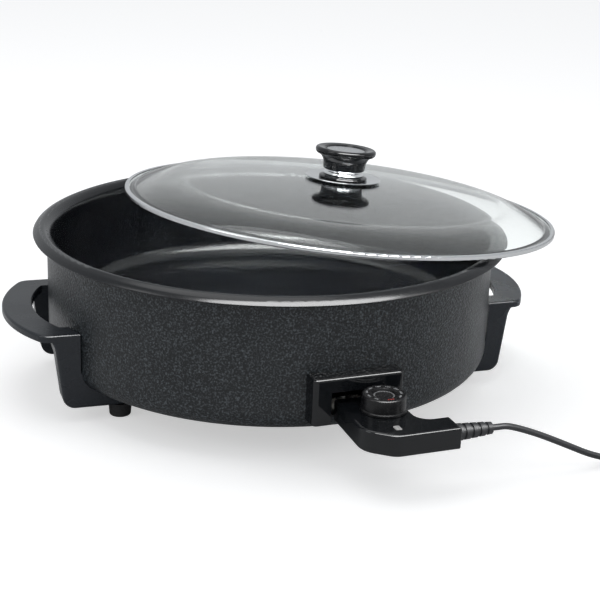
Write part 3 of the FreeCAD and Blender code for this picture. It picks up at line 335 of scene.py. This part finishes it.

# The lens's pale grey, mottled lighter and darker, is a painted highlight on it.
lens_highlight_paint = new_material("lens_painted_highlight", (0.5, 0.5, 0.5), 0.12)
lens_highlight_mottle = noise(lens_highlight_paint, 500.0, detail=1.0)
vary(lens_highlight_paint, "Base Color", lens_highlight_mottle, (0.42, 0.41, 0.4), (0.6, 0.59, 0.58))
dress(lens_highlight_paint, "lamp_lens")

lamp_tube = new_material("lamp_glass", (0.8, 0.72, 0.62), 0.08, Transmission_Weight=0.9)
lamp_film = noise(lamp_tube, 700.0, detail=1.0)
vary(lamp_tube, "Roughness", lamp_film, 0.05, 0.14)
dress(lamp_tube, "pilot_lamp")

# Dial
# A fluted black knob with a sunk middle. Plain heat numbers are printed round its face, with
# three short red marks between the last and the first, and a ring of fine white strokes is
# printed in the sunk middle.

dial_face = new_material("dial_phenolic", (0.007, 0.007, 0.008), 0.24, Specular_IOR_Level=0.35)
dial_haze = noise(dial_face, 420.0)
vary(dial_face, "Roughness", dial_haze, 0.2, 0.3)
dress(dial_face, "dial")

print_white = new_material("white_print", (0.62, 0.63, 0.64), 0.5)
white_wear = noise(print_white, 1800.0)
vary(print_white, "Base Color", white_wear, (0.5, 0.51, 0.52), (0.68, 0.69, 0.7))

print_red = new_material("red_print", (0.5, 0.03, 0.02), 0.5)
red_wear = noise(print_red, 1800.0)
vary(print_red, "Base Color", red_wear, (0.42, 0.02, 0.015), (0.6, 0.05, 0.03))

SOCKET_AZIMUTH = math.radians(290.3)
dial_low, dial_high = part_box("dial")
dial_axis = Vector(((dial_low.x + dial_high.x) / 2, (dial_low.y + dial_high.y) / 2, dial_high.z))


def flat_mesh(name, curve_data, place, material, body):
    """Text or a flat curve made a mesh, then put in place with its object at the origin."""
    shown = add_object(name + "_line", curve_data)
    bpy.context.view_layer.update()
    settled = shown.evaluated_get(bpy.context.evaluated_depsgraph_get())
    mesh = bpy.data.meshes.new_from_object(settled)
    bpy.data.objects.remove(shown)
    mesh.transform(place)
    mesh.materials.clear()
    mesh.materials.append(material)
    for face in mesh.polygons:
        face.material_index = 0
    piece = add_object(name, mesh)
    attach(piece, body)
    return piece


HEAT_NUMBERS = ("80", "100", "120", "140", "160", "180", "200", "220", "240")
NUMBER_RING = 0.0136
NUMBER_SIZE = 0.0031
NUMBER_HALF_THICKNESS = 0.00006
NUMBER_DROP = 0.00022
FIRST_NUMBER_DEGREES = 50
NUMBER_STEP_DEGREES = 33

for i, label in enumerate(HEAT_NUMBERS):
    words = bpy.data.curves.new("number_" + label, "FONT")
    words.body = label
    words.size = NUMBER_SIZE
    words.align_x = "CENTER"
    words.align_y = "CENTER"
    words.extrude = NUMBER_HALF_THICKNESS
    angle = SOCKET_AZIMUTH - math.radians(FIRST_NUMBER_DEGREES + i * NUMBER_STEP_DEGREES)
    outward = Vector((math.cos(angle), math.sin(angle), 0)) * NUMBER_RING
    spot = dial_axis + outward + Vector((0, 0, -NUMBER_DROP))
    place = Matrix.Translation(spot) @ Matrix.Rotation(angle - math.pi / 2, 4, "Z")
    number = flat_mesh("number_" + label, words, place, print_white, "dial")


def stroke_ring(name, count, sizes, material):
    """Short printed strokes that point at the dial's axis, set out by a node tree."""
    tree = bpy.data.node_groups.new(name, "GeometryNodeTree")
    tree.interface.new_socket("Geometry", in_out="OUTPUT", socket_type="NodeSocketGeometry")
    for label in sizes:
        tree.interface.new_socket(label, in_out="INPUT", socket_type="NodeSocketFloat")
    tree.interface.new_socket("Count", in_out="INPUT", socket_type="NodeSocketInt")
    entry = tree.nodes.new("NodeGroupInput").outputs
    line = tree.nodes.new("GeometryNodeMeshLine")
    tree.links.new(entry["Count"], line.inputs["Count"])

    def maths(operation, first_value, second_value=None):
        node = tree.nodes.new("ShaderNodeMath")
        node.operation = operation
        tree.links.new(first_value, node.inputs[0])
        if second_value is not None:
            tree.links.new(second_value, node.inputs[1])
        return node.outputs[0]

    index = tree.nodes.new("GeometryNodeInputIndex").outputs[0]
    angle = maths("ADD", maths("MULTIPLY", index, entry["Step Angle"]), entry["First Angle"])
    spot = tree.nodes.new("ShaderNodeCombineXYZ")
    tree.links.new(maths("MULTIPLY", maths("COSINE", angle), entry["Radius"]), spot.inputs["X"])
    tree.links.new(maths("MULTIPLY", maths("SINE", angle), entry["Radius"]), spot.inputs["Y"])
    moved = tree.nodes.new("GeometryNodeSetPosition")
    tree.links.new(line.outputs["Mesh"], moved.inputs["Geometry"])
    tree.links.new(spot.outputs[0], moved.inputs["Position"])
    facing = tree.nodes.new("ShaderNodeCombineXYZ")
    tree.links.new(angle, facing.inputs["Z"])
    extent = tree.nodes.new("ShaderNodeCombineXYZ")
    for axis, label in zip("XYZ", ("Length", "Width", "Height")):
        tree.links.new(entry[label], extent.inputs[axis])
    stroke = tree.nodes.new("GeometryNodeMeshCube")
    tree.links.new(extent.outputs[0], stroke.inputs["Size"])
    placed = tree.nodes.new("GeometryNodeInstanceOnPoints")
    tree.links.new(moved.outputs["Geometry"], placed.inputs["Points"])
    tree.links.new(stroke.outputs["Mesh"], placed.inputs["Instance"])
    tree.links.new(facing.outputs[0], placed.inputs["Rotation"])
    realised = tree.nodes.new("GeometryNodeRealizeInstances")
    tree.links.new(placed.outputs["Instances"], realised.inputs["Geometry"])
    inked = tree.nodes.new("GeometryNodeSetMaterial")
    inked.inputs["Material"].default_value = material
    tree.links.new(realised.outputs["Geometry"], inked.inputs["Geometry"])
    end = tree.nodes.new("NodeGroupOutput")
    tree.links.new(inked.outputs["Geometry"], end.inputs["Geometry"])

    carrier = add_object(name + "_tree", bpy.data.meshes.new(name + "_tree"))
    modifier = carrier.modifiers.new(name, "NODES")
    modifier.node_group = tree
    for item in tree.interface.items_tree:
        if item.item_type == "SOCKET" and item.in_out == "INPUT":
            modifier[item.identifier] = count if item.name == "Count" else sizes[item.name]
    bpy.context.view_layer.update()
    settled = carrier.evaluated_get(bpy.context.evaluated_depsgraph_get())
    mesh = bpy.data.meshes.new_from_object(settled)
    carrier.modifiers.remove(modifier)
    bpy.data.objects.remove(carrier)
    return mesh


STROKE_STEP_DEGREES = 9
STROKE_THICKNESS = 0.00014

for name, count, first_degrees, radius, length, width, drop, ink in (
    ("setting_marks", 3, -9, 0.0136, 0.0032, 0.0011, 0.0003, print_red),
    ("inner_scale", 40, 0, 0.0078, 0.0011, 0.00045, 0.002, print_white),
):
    stroke_sizes = {
        "Radius": radius,
        "First Angle": SOCKET_AZIMUTH + math.radians(first_degrees),
        "Step Angle": math.radians(STROKE_STEP_DEGREES),
        "Length": length,
        "Width": width,
        "Height": STROKE_THICKNESS,
    }
    strokes = stroke_ring(name, count, stroke_sizes, ink)
    strokes.transform(Matrix.Translation(dial_axis + Vector((0, 0, -drop))))
    ring_piece = add_object(name, strokes)
    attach(ring_piece, "dial")

# Lid
# A shallow dome of clear tempered glass whose edge is rolled into a thin polished steel band.
# It is loose: here it lies ajar, tipped over the rim towards the back right.

glass = new_material(
    "tempered_glass", (0.93, 0.965, 0.955), 0.02, Transmission_Weight=1.0, IOR=1.5,
)
film = noise(glass, 9.0, detail=3.0)
vary(glass, "Roughness", film, 0.01, 0.05)
dress(glass, "lid_glass")

LID_AZIMUTH = math.radians(42.7)
LID_TILT = math.radians(5.55)
LID_SHIFT = 0.0865
LID_REST_HEIGHT = 0.14375
lid_offset = Vector(
    (LID_SHIFT * math.cos(LID_AZIMUTH), LID_SHIFT * math.sin(LID_AZIMUTH), LID_REST_HEIGHT)
)
lid_axis = Vector((-math.sin(LID_AZIMUTH), math.cos(LID_AZIMUTH), 0))
lid_place = Matrix.Translation(middle + lid_offset) @ Matrix.Rotation(LID_TILT, 4, lid_axis)


def arc_through(start, mid, end, count):
    """Points on the arc from start to end through mid, the start left out."""
    (x0, y0), (x1, y1), (x2, y2) = start, mid, end
    cross = 2 * (x0 * (y1 - y2) + x1 * (y2 - y0) + x2 * (y0 - y1))
    s0, s1, s2 = x0 * x0 + y0 * y0, x1 * x1 + y1 * y1, x2 * x2 + y2 * y2
    cx = (s0 * (y1 - y2) + s1 * (y2 - y0) + s2 * (y0 - y1)) / cross
    cy = (s0 * (x2 - x1) + s1 * (x0 - x2) + s2 * (x1 - x0)) / cross
    radius = math.hypot(x0 - cx, y0 - cy)
    a0, a2 = math.atan2(y0 - cy, x0 - cx), math.atan2(y2 - cy, x2 - cx)
    turned = (a2 - a0 + math.pi) % (2 * math.pi) - math.pi
    angles = [a0 + turned * k / count for k in range(1, count + 1)]
    return [(cx + radius * math.cos(angle), cy + radius * math.sin(angle)) for angle in angles]


# The glass in section, as radius and height in millimetres: from the knob's hole over the
# crown, the shoulder and the slope to the flat edge, and back along the lower face.
hole_above, hole_below = (4.0, 26.594), (4.0, 22.994)
crown_above, crown_below = (77.0, 24.33), (77.0, 20.73)
shoulder_above, shoulder_below = (150.0, 17.9), (150.0, 14.3)
slope_above, slope_below = (171.0, 13.15), (169.5, 10.1)
foot_above, foot_below = (192.0, 4.0), (189.5, 0.6)
edge = [(195.8, 3.6), (198.8, 3.6), (199.4, 3.0), (199.4, 1.2), (198.8, 0.6)]
CROWN_POINTS = 30
SLOPE_POINTS = 20
SEGMENTS = 256

dome = [hole_above]
dome += arc_through(hole_above, crown_above, shoulder_above, CROWN_POINTS)
dome += arc_through(shoulder_above, slope_above, foot_above, SLOPE_POINTS)
dome += edge
dome += [foot_below]
dome += arc_through(foot_below, slope_below, shoulder_below, SLOPE_POINTS)
dome += arc_through(shoulder_below, crown_below, hole_below, CROWN_POINTS)

glass_points = []
glass_faces = []
dome_size = len(dome)
for k in range(SEGMENTS):
    angle = 2 * math.pi * k / SEGMENTS
    for radius, height in dome:
        point = Vector((radius * math.cos(angle), radius * math.sin(angle), height)) / 1000
        glass_points.append(lid_place @ point)
    here = k * dome_size
    beside = ((k + 1) % SEGMENTS) * dome_size
    for j in range(dome_size):
        onward = (j + 1) % dome_size
        glass_faces.append((here + j, here + onward, beside + onward, beside + j))
glass_mesh = bpy.data.meshes.new("glass_dome")
glass_mesh.from_pydata(glass_points, [], glass_faces)
glass_mesh.shade_smooth()
glass_mesh.set_sharp_from_angle(angle=math.radians(25))
glass_mesh.materials.append(glass)
glass_dome = add_object("glass_dome", glass_mesh)
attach(glass_dome, "lid")
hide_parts("lid_glass")

band_steel = new_material("polished_band", (0.72, 0.73, 0.74), 0.14, metallic=1.0)
buffing = noise(band_steel, 160.0, detail=3.0)
vary(band_steel, "Roughness", buffing, 0.08, 0.2)
dress(band_steel, "lid_rim", "knob_disc")

# Lid knob
# A turned black knob with a flared lip and a satin grey cap in its top, drawn down by one screw
# through a steel disc, a black washer and a bright collar, over a silicone ring below the glass.

dress(polished, "lid_knob", "knob_washer")

chrome = new_material("bright_chrome", (0.82, 0.83, 0.84), 0.06, metallic=1.0)
chrome_film = noise(chrome, 120.0)
vary(chrome, "Roughness", chrome_film, 0.03, 0.1)
dress(chrome, "knob_collar")

cap_grey = new_material("satin_cap", (0.36, 0.37, 0.38), 0.3)
cap_grain = noise(cap_grey, 700.0)
vary(cap_grey, "Roughness", cap_grain, 0.24, 0.38)
dress(cap_grey, "knob_insert")

silicone = new_material("clear_silicone", (0.7, 0.7, 0.68), 0.4)
silicone_film = noise(silicone, 500.0)
vary(silicone, "Roughness", silicone_film, 0.34, 0.48)
dress(silicone, "lid_seal")

# Table top and light
# A plain white table under a large soft light from above and a smaller one on each side. A wide
# card above the front shows only in gleams, where it draws the bright lines on the black parts.

TABLE_HALF = 8
TABLE_GREY = 0.74
TABLE_GLOW = 0.5
SKY_SEEN = 1.05
SKY_MIRRORED = 0.6
SKY_FILL = 0.55
LIGHTS_AIM = Vector((0, 0, 0.08))

floor_mesh = bpy.data.meshes.new("table_top")
corners = ((-1, -1), (1, -1), (1, 1), (-1, 1))
floor_points = [(x * TABLE_HALF, y * TABLE_HALF, 0) for x, y in corners]
floor_mesh.from_pydata(floor_points, [], [(0, 1, 2, 3)])
floor = add_object("table_top", floor_mesh)


def seen_directly(tree):
    """One where the eye meets the surface straight or through glass, and nought elsewhere."""
    path = tree.nodes.new("ShaderNodeLightPath")
    seen = tree.nodes.new("ShaderNodeMath")
    seen.operation = "MAXIMUM"
    tree.links.new(path.outputs["Is Camera Ray"], seen.inputs[0])
    tree.links.new(path.outputs["Is Transmission Ray"], seen.inputs[1])
    return seen.outputs[0]


white_top = bpy.data.materials.new("white_table")
white_top.use_nodes = True
tree = white_top.node_tree
tree.nodes.clear()
plain = tree.nodes.new("ShaderNodeBsdfDiffuse")
plain.inputs["Color"].default_value = (TABLE_GREY, TABLE_GREY, TABLE_GREY, 1)
glow = tree.nodes.new("ShaderNodeEmission")
lit = tree.nodes.new("ShaderNodeMath")
lit.operation = "MULTIPLY"
lit.inputs[1].default_value = TABLE_GLOW
tree.links.new(seen_directly(tree), lit.inputs[0])
tree.links.new(lit.outputs[0], glow.inputs["Strength"])
both = tree.nodes.new("ShaderNodeAddShader")
tree.links.new(plain.outputs[0], both.inputs[0])
tree.links.new(glow.outputs[0], both.inputs[1])
ending = tree.nodes.new("ShaderNodeOutputMaterial")
tree.links.new(both.outputs[0], ending.inputs["Surface"])
floor_mesh.materials.append(white_top)

world = bpy.data.worlds.new("studio")
bpy.context.scene.world = world
world.use_nodes = True
tree = world.node_tree
tree.nodes.clear()


def sky(colour, strength):
    node = tree.nodes.new("ShaderNodeBackground")
    node.inputs["Color"].default_value = (*colour, 1)
    node.inputs["Strength"].default_value = strength
    return node.outputs[0]


def choose(factor, when_nought, when_one):
    node = tree.nodes.new("ShaderNodeMixShader")
    tree.links.new(factor, node.inputs[0])
    tree.links.new(when_nought, node.inputs[1])
    tree.links.new(when_one, node.inputs[2])
    return node.outputs[0]


in_gleams = tree.nodes.new("ShaderNodeLightPath").outputs["Is Glossy Ray"]
fill = sky((0.95, 0.97, 1.0), SKY_FILL)
reflected = sky((0.94, 0.97, 1.0), SKY_MIRRORED)
unseen = choose(in_gleams, fill, reflected)
whole_sky = choose(seen_directly(tree), unseen, sky((1, 1, 1), SKY_SEEN))
ending = tree.nodes.new("ShaderNodeOutputWorld")
tree.links.new(whole_sky, ending.inputs["Surface"])

for name, spot, width, depth, power, only_gleams in (
    ("overhead_light", (-0.3, 0.2, 1.9), 1.6, 1.6, 10.0, False),
    ("left_light", (-1.7, -0.9, 1.1), 0.9, 0.9, 5.0, False),
    ("right_light", (1.6, -0.6, 0.9), 0.8, 0.8, 5.0, False),
    ("front_card", (0.35, -1.05, 1.5), 2.6, 1.2, 140.0, True),
):
    light_data = bpy.data.lights.new(name, "AREA")
    light_data.shape = "ELLIPSE"
    light_data.size = width
    light_data.size_y = depth
    light_data.energy = power
    light = add_object(name, light_data)
    light.location = middle + Vector(spot)
    towards = middle + LIGHTS_AIM - light.location
    light.rotation_euler = towards.to_track_quat("-Z", "Y").to_euler()
    light.visible_camera = False
    light.visible_diffuse = not only_gleams
